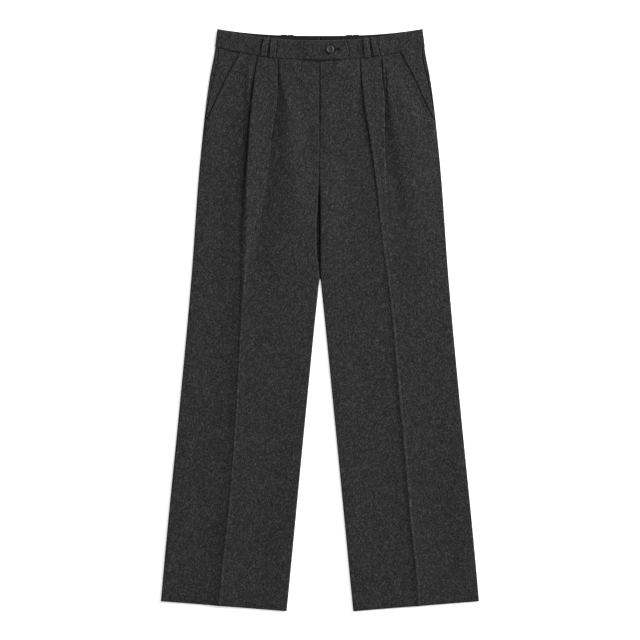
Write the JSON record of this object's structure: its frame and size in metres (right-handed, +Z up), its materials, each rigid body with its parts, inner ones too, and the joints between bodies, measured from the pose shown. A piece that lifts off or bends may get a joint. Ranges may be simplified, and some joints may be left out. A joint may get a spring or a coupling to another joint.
{
  "type": "pleated dress trousers",
  "caption": "Wide-leg pleated dress trousers in charcoal flannel, laid flat with the front up: zip fly, slant pockets, buttoned waistband and belt loops.",
  "frame": {"origin": "middle of the laid garment's bounding box, on the surface it lies on", "axes": "+X to the wearer's left, +Y from the hems to the waistband, +Z up out of the front"},
  "size_m": [0.5792, 1.059, 0.012],
  "materials": {
    "flannel": "matt, softly napped",
    "zip_metal": "darkened",
    "button_resin": "satin"
  },
  "bodies": {
    "root": {"front_left": "flannel", "front_right": "flannel", "back_left": "flannel", "back_right": "flannel", "pocket_facing_left": "flannel", "pocket_facing_right": "flannel", "waistband_left": "flannel", "waistband_right": "flannel", "fly_shield": "flannel", "belt_loop_front_left_inner": "flannel", "belt_loop_front_left_outer": "flannel", "belt_loop_front_right_inner": "flannel", "belt_loop_front_right_outer": "flannel", "belt_loop_back_left_inner": "flannel", "belt_loop_back_left_outer": "flannel", "belt_loop_back_right_inner": "flannel", "belt_loop_back_right_outer": "flannel", "fly_zip": "zip_metal", "button": "button_resin"}
  },
  "joints": []
}
